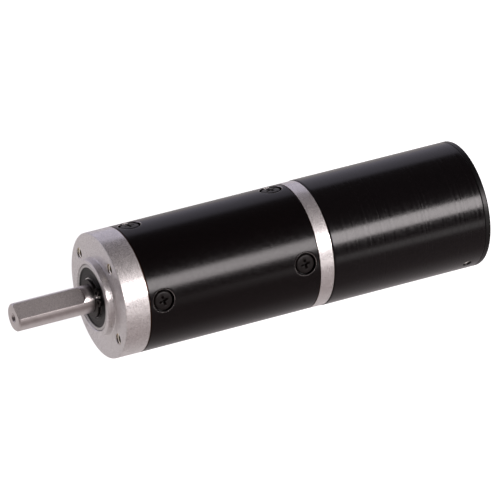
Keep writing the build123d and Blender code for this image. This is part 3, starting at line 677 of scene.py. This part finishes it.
def cross_recess_screw():
    """A cross-head screw along its own X, placed at its radius from the object's axis."""
    body = lathe(
        [
            (SCREW_TIP_R, 0),
            (SCREW_TIP_R, SHANK_R - 0.36),
            (SCREW_TIP_R + 0.4, SHANK_R),
            (SEAT_R, SHANK_R),
            (SEAT_R, HEAD_R, 0.12),
            (HEAD_TOP - 0.09, HEAD_R, 0.5),
            (HEAD_TOP, 1.2),
            (HEAD_TOP, 0),
        ],
        count=64,
        closed=False,
    )
    depth, wide, long = 1.15, 0.82, 3.15
    lay_down = Matrix.Rotation(math.pi / 2, 4, "Y")
    at_top = Matrix.Translation((HEAD_TOP - depth / 2 + 0.1, 0, 0))
    arms = [
        moved(box_mesh((long, wide, depth + 0.2), 0.5), at_top @ lay_down),
        moved(box_mesh((wide, long, depth + 0.2), 0.5), at_top @ lay_down),
    ]
    return cut(body, *arms)


SPINS = {(SCREW_ROWS[0], 165): 14, (SCREW_ROWS[1], 165): 8}
screw = cross_recess_screw()
for row, (x, node) in enumerate(zip(SCREW_ROWS, ("sleeve_screws_front", "sleeve_screws_rear"))):
    screws = []
    for k, angle in enumerate(SCREW_ANGLES):
        spin = SPINS.get((x, angle), 31 * k + 17 * row)
        screws.append(moved(screw.copy(), radial_frame(x, angle, spin)))
    piece(f"{node}_cross_head", merged(*screws), "black_screws", "housing", node, bevel=0.05)
screw.free()

flange = lathe(
    [
        (BOSS_FRONT, BEARING_BORE + 0.25, 0.06),
        (BOSS_FRONT, BOSS_R, 0.3),
        (0, BOSS_R, 0.45),
        (0, FLANGE_R, 0.38),
        (FLANGE_END, FLANGE_R, 0.12),
        (FLANGE_END, SPIGOT_R),
        (SPIGOT_END, SPIGOT_R, 0.3),
        (SPIGOT_END, BEARING_BORE),
        (CLIP_GROOVE_X[1], BEARING_BORE),
        (CLIP_GROOVE_X[1], CLIP_GROOVE_R),
        (CLIP_GROOVE_X[0], CLIP_GROOVE_R),
        (CLIP_GROOVE_X[0], BEARING_BORE),
        (LIP_X[1], BEARING_BORE),
        (LIP_X[1], LIP_R),
        (LIP_X[0], LIP_R),
        (LIP_X[0], BEARING_BORE),
        (BOSS_FRONT + 0.25, BEARING_BORE, 0.06),
    ],
    count=240,
)


def hole_cutter():
    """A front hole with its countersink and drilled end, along X."""
    return lathe(
        [
            (-0.5, 0),
            (-0.5, THREAD_R + 0.72),
            (0.22, THREAD_R),
            (THREAD_DEPTH, THREAD_R),
            (THREAD_DEPTH + 0.7, 0),
        ],
        count=40,
        closed=False,
    )


def thread_ridge(turns, crest, count=32):
    """The helical ridge of an internal thread, along X."""
    bm = bmesh.new()
    half, root = THREAD_PITCH * 0.47, THREAD_R + 0.02
    rows = []
    for k in range(turns * count + 1):
        a = math.tau * k / count
        x = 0.25 + THREAD_PITCH * k / count
        fade = min(1.0, k / (0.6 * count))
        top = root - (root - crest) * fade
        profile = ((-half, root), (-0.05, top), (0.05, top), (half, root))
        rows.append([bm.verts.new(on_axis(x + dx, r, a)) for dx, r in profile])
    for low, high in zip(rows, rows[1:]):
        bridge(bm, low, high)
    bm.faces.new(rows[0])
    bm.faces.new(rows[-1])
    bmesh.ops.recalc_face_normals(bm, faces=bm.faces)
    return bm


bolt_places = [
    Matrix.Translation(on_axis(0, BOLT_CIRCLE, math.radians(angle))) for angle in BOLT_ANGLES
]
cutters = [moved(hole_cutter(), place) for place in bolt_places]
for angle in SCREW_ANGLES:
    hole = lathe([(11.8, 0), (11.8, THREAD_R), (17.0, THREAD_R), (17.0, 0)], count=24, closed=False)
    cutters.append(moved(hole, radial_frame(SCREW_ROWS[0], angle)))
piece("flange_turned", cut(flange, *cutters), "turned_aluminium", "housing", "front_flange", sharp=25)
threads = [moved(thread_ridge(10, 1.24), place) for place in bolt_places]
piece("flange_threads", merged(*threads), "turned_aluminium", "housing", sharp=50)

can_outline = [
    (CAN_X1 - 0.3, CAN_R),
    (CAN_X1, CAN_R, 0.22),
    (CAN_X1, CAN_INNER_R),
    (CAN_PLATE_END, CAN_INNER_R),
    (CAN_PLATE_END, BUSH_R),
    (CAN_BOSS_X + 0.5, BUSH_R),
    (CAN_BOSS_X + 0.5, ROTOR_OPENING_R),
    (CAN_BOSS_X, ROTOR_OPENING_R),
    (CAN_BOSS_X, CAN_BOSS_R, 0.2),
    (CAN_X0, CAN_BOSS_R),
    (CAN_X0, CAN_R, 0.45),
    (CAN_X0 + 0.6, CAN_R),
]
can = pocketed_wall(
    can_outline,
    CAN_R,
    [(COVER_SCREW_X, angle) for angle in COVER_SCREW_ANGLES],
    pocket_r=COVER_SCREW_R,
    rim=CAN_RIM,
    floor_r=CAN_INNER_R + 0.01,
    hole_r=0.5,
    half_x=2.0,
    half_steps=4,
)
piece("can_drawn", can, "black_can", "housing", "motor_can")

softened_copy("motor_adapter", "turned_aluminium", "housing", 0.1)
softened_copy("rear_cover", "black_cover", "housing", 0.12)
softened_copy("cover_screws", "zinc_screws", "housing", 0.05)
softened_copy("terminals", "brass", "housing", 0.08)

seal_section = [
    (0, SEAL_INNER_R, 0.05),
    (0, 6.35, 0.1),
    (0.14, 6.6, 0.1),
    (0.14, 8.0, 0.1),
    (0, 8.2, 0.1),
    (0, SEAL_OUTER_R, 0.05),
    (SEAL_T, SEAL_OUTER_R),
    (SEAL_T, SEAL_INNER_R),
]
outer_seal = lathe([(SEAL_FRONT + x, r, *f) for x, r, *f in seal_section], count=128)
inner_seal = lathe([(SEAL_REAR - x, r, *f) for x, r, *f in seal_section], count=128)
seals = merged(outer_seal, inner_seal)
piece("bearing_seals_dished", seals, "seal_rubber", "housing", "front_bearing_seals", sharp=40)
softened_copy("front_bearing_outer_race", "bearing_steel", "housing", 0.1)


# ---------------------------------------------------------------- output shaft


shaft = lathe(
    [
        (SHAFT_TIP + 4.4, 0),
        (SHAFT_TIP + 4.0, CENTRE_HOLE_R),
        (SHAFT_TIP + 0.95, CENTRE_HOLE_R, 0.1),
        (SHAFT_TIP, CENTRE_MOUTH_R, 0.1),
        (SHAFT_TIP, SHAFT_R - 0.4, 0.12),
        (SHAFT_TIP + 0.4, SHAFT_END_R, 0.2),
        (SEAT_X - 0.1, SHAFT_END_R),
        (SEAT_X, SHAFT_R),
        (CIRCLIP_GROOVE_X[0], SHAFT_R),
        (CIRCLIP_GROOVE_X[0], CIRCLIP_GROOVE_R),
        (CIRCLIP_GROOVE_X[1], CIRCLIP_GROOVE_R),
        (CIRCLIP_GROOVE_X[1], SHAFT_R),
        (SHAFT_REAR, SHAFT_R),
        (SHAFT_REAR, 0),
    ],
    count=144,
    closed=False,
)
# The milled flat: a block as wide as the flat, with a quarter circle at each corner of its inner end
reach, quarter_steps = 24.0, 8
edge = [Vector((-reach, -FLAT_HALF_WIDTH)), Vector((-reach, FLAT_HALF_WIDTH))]
for side in (1, -1):
    for step in range(quarter_steps + 1):
        a = math.pi / 2 * step / quarter_steps
        turn = a if side == 1 else math.pi / 2 - a
        along = FLAT_CORNER * math.sin(turn) - FLAT_CORNER
        across = FLAT_HALF_WIDTH - FLAT_CORNER + FLAT_CORNER * math.cos(turn)
        edge.append(Vector((along, side * across)))
flat_cutter = bmesh.new()
low_loop = [flat_cutter.verts.new((FLAT_HEIGHT, p.x, p.y)) for p in edge]
high_loop = [flat_cutter.verts.new((FLAT_HEIGHT + 4, p.x, p.y)) for p in edge]
bridge(flat_cutter, low_loop, high_loop)
flat_cutter.faces.new(low_loop)
flat_cutter.faces.new(high_loop)
bmesh.ops.recalc_face_normals(flat_cutter, faces=flat_cutter.faces)
moved(flat_cutter, radial_frame(FLAT_END, FLAT_ANGLE))
ground = cut(shaft, flat_cutter)
piece("shaft_ground", ground, "ground_steel", "output", "output_shaft", bevel=0.07, sharp=28)
softened_copy("shaft_circlip", "black_spring_steel", "output", 0.08)
softened_copy("front_bearing_balls", "polished_steel", "front_ball_set", 0)
softened_copy("rear_bearing_balls", "polished_steel", "rear_ball_set", 0)


# ---------------------------------------------------------------- camera


AZIMUTH, ELEVATION = math.radians(-26.524), math.radians(30.895)
AIM = Vector((48.40, 3.01, 0.32)) * MM
CAMERA_DISTANCE, LENS = 1.72728, 443.1
level = Vector((math.sin(AZIMUTH), -math.cos(AZIMUTH), 0)) * math.cos(ELEVATION)
back = level + Vector((0, 0, math.sin(ELEVATION)))
camera_data = bpy.data.cameras.new("camera")
camera_data.sensor_width = 36.0
camera_data.lens = LENS
camera_data.clip_start, camera_data.clip_end = 0.05, 100.0
camera = bpy.data.objects.new("camera", camera_data)
camera.location = AIM + back * CAMERA_DISTANCE
camera.rotation_mode = "QUATERNION"
camera.rotation_quaternion = (-back).to_track_quat("-Z", "Y")
bpy.context.scene.collection.objects.link(camera)
bpy.context.scene.camera = camera


# ---------------------------------------------------------------- light and floor


FLOOR_Z, FLOOR_HALF = cad_box[0].z - 0.05 * MM, 6.0
BOUNCE_DROP = 0.5 * MM
BACKDROP_EDGE = math.radians(46)  # the backdrop ends this far above the horizon behind the object
OVERHEAD, BACKDROP = (0.085, 0.073, 0.076, 1), (0.58, 0.55, 0.65, 1)
TABLE_NEAR, TABLE_FAR, TABLE_BAND = (0.28, 0.235, 0.235), (0.60, 0.555, 0.56), (1.4, 1.32, 1.32, 1)


def area_light(name, elevation, distance, centre_x, length, height, radiance, color):
    """A long box light parallel to the axis, seen from it at this elevation on the camera's side."""
    data = bpy.data.lights.new(name, "AREA")
    data.shape = "RECTANGLE"
    data.size, data.size_y = length, height
    data.energy = radiance * math.pi * length * height
    data.color = color
    light = bpy.data.objects.new(name, data)
    angle = math.radians(elevation)
    outward = Vector((0, -math.cos(angle), math.sin(angle)))
    light.location = Vector((centre_x, 0, 0)) + outward * distance
    z_axis = outward
    x_axis = Vector((1, 0, 0))
    y_axis = z_axis.cross(x_axis)
    light.rotation_mode = "QUATERNION"
    light.rotation_quaternion = Matrix((x_axis, y_axis, z_axis)).transposed().to_quaternion()
    light.visible_camera = False
    bpy.context.scene.collection.objects.link(light)
    return light


area_light(
    "key",
    elevation=28.3,
    distance=1.0,
    centre_x=0.46,
    length=1.1,
    height=0.36,
    radiance=11.3,
    color=(1.0, 0.935, 0.94),
)

world = bpy.data.worlds.new("studio")
bpy.context.scene.world = world
world.use_nodes = True
sky = world.node_tree
background = sky.nodes["Background"]
direction = sky.nodes.new("ShaderNodeTexCoord").outputs["Generated"]
above = sky.nodes.new("ShaderNodeVectorMath")
above.operation = "DOT_PRODUCT"
above.inputs[1].default_value = (0, -math.sin(BACKDROP_EDGE), math.cos(BACKDROP_EDGE))
sky.links.new(direction, above.inputs[0])
fade = sky.nodes.new("ShaderNodeMapRange")
fade.interpolation_type = "SMOOTHSTEP"
for socket, value in {"From Min": -0.10, "From Max": 0.06, "To Min": 1.0, "To Max": 0.0}.items():
    fade.inputs[socket].default_value = value
sky.links.new(above.outputs["Value"], fade.inputs["Value"])
tone = sky.nodes.new("ShaderNodeMix")
tone.data_type = "RGBA"
tone.inputs["A"].default_value = OVERHEAD
tone.inputs["B"].default_value = BACKDROP
sky.links.new(fade.outputs["Result"], tone.inputs["Factor"])
sky.links.new(tone.outputs["Result"], background.inputs["Color"])


def floor_sheet(name, z):
    """A big flat sheet at this height."""
    mesh = bpy.data.meshes.new(name)
    half = FLOOR_HALF
    corners = [(-half, -half, z), (half, -half, z), (half, half, z), (-half, half, z)]
    mesh.from_pydata(corners, [], [(0, 1, 2, 3)])
    sheet = bpy.data.objects.new(name, mesh)
    bpy.context.scene.collection.objects.link(sheet)
    s = Shader(name, (0.8, 0.8, 0.8), roughness=0.6, Specular_IOR_Level=0.0)
    mesh.materials.append(s.mat)
    return sheet, s


floor, s = floor_sheet("floor", FLOOR_Z)
s.set("Emission Color", (1, 1, 1, 1))
s.set("Emission Strength", 0.92)
floor.visible_glossy = False

# Only reflections see this one: the table is darker in front of the object, with a bright band
bounce, s = floor_sheet("bounce", FLOOR_Z - BOUNCE_DROP)
s.set("Base Color", (0, 0, 0, 1))
parts = s.split(s.coordinates)
behind = s.spread(parts["Y"], 0.0, 1.0, (-0.024, -0.009))
near = s.spread(parts["Y"], 0.0, 1.0, (-0.30, -0.20))
far = s.spread(parts["Y"], 1.0, 0.0, (-0.10, -0.075))
side = s.spread(parts["X"], 0.22, 1.0, (0.08, 0.14))
band = s.math("MULTIPLY", s.math("MULTIPLY", near, far), side)
table = s.tint(behind, TABLE_NEAR, TABLE_FAR, (0.0, 1.0))
s.feed("Emission Color", s.mix(band, table, TABLE_BAND))
s.set("Emission Strength", 1.0)
bounce.visible_camera = False
bounce.visible_diffuse = False
bounce.visible_shadow = False

bpy.context.scene.view_settings.view_transform = "Standard"
